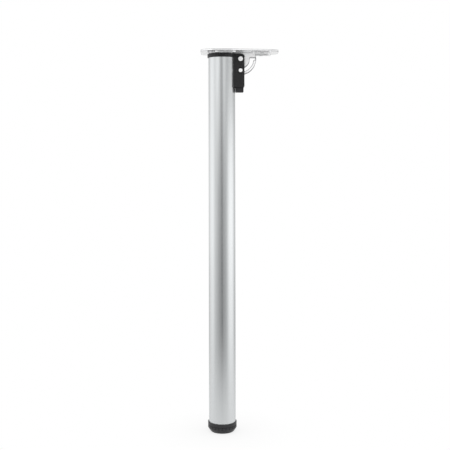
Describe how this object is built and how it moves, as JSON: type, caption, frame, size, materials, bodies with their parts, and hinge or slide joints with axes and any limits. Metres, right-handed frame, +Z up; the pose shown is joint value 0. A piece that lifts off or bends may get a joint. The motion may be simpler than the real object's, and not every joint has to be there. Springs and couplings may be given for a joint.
{
  "type": "folding table leg",
  "caption": "Round silver tube leg with a fixing plate, a folding joint with a push release lock, and a screw adjustable foot",
  "frame": {"origin": "centre of the sole's underside, on the floor and on the tube's axis", "axes": "+Z runs up the tube to the fixing plate, +X points to the long end of the plate, the way the foot folds, +Y completes the frame along the pivot pin"},
  "size_m": [0.1446, 0.104, 0.71],
  "materials": {
    "chrome_plate": "bright chrome plate on pressed steel",
    "bright_pins": "bright zinc plated steel",
    "spring_wire": "plain spring steel wire",
    "silver_tube": "satin silver coating on steel tube",
    "black_housing": "matte black glass filled nylon",
    "black_parts": "matte black moulded plastic",
    "black_sole": "soft black non-slip sole"
  },
  "bodies": {
    "plate": {"top_plate": "chrome_plate", "sector_bracket": "chrome_plate", "bracket_rivets": "bright_pins"},
    "leg": {"leg_tube": "silver_tube", "leg_head": "black_housing", "pivot_pin": "bright_pins", "pivot_bush": "black_parts", "pivot_ring": "bright_pins", "lock_spring": "spring_wire", "foot_insert": "black_parts", "insert_nut": "bright_pins"},
    "lock": {"lock_slider": "black_parts", "lock_pin": "bright_pins"},
    "sole": {"foot_sole": "black_sole"},
    "adjuster": {"foot_knob": "black_parts", "foot_stud": "bright_pins"}
  },
  "joints": [
    {"name": "leg_fold", "type": "hinge", "parent": "plate", "child": "leg", "pos_m": [0.0351, 0, 0.6952], "axis": [0, -1, 0], "range_deg": [0, 90]},
    {"name": "lock_slide", "type": "slide", "parent": "leg", "child": "lock", "axis": [0, 0, 1], "range_m": [-0.003, 0.0015], "deforming": ["lock_spring"]},
    {"name": "foot_height", "type": "slide", "parent": "leg", "child": "sole", "axis": [0, 0, -1], "range_m": [0, 0.02]},
    {"name": "foot_turn", "type": "hinge", "parent": "sole", "child": "adjuster", "pos_m": [0, 0, 0], "axis": [0, 0, -1], "range_deg": [0, 4800]}
  ],
  "couplings": [
    {"joint": "foot_height", "follows": "foot_turn", "m_per_rad": 0.00023873}
  ]
}
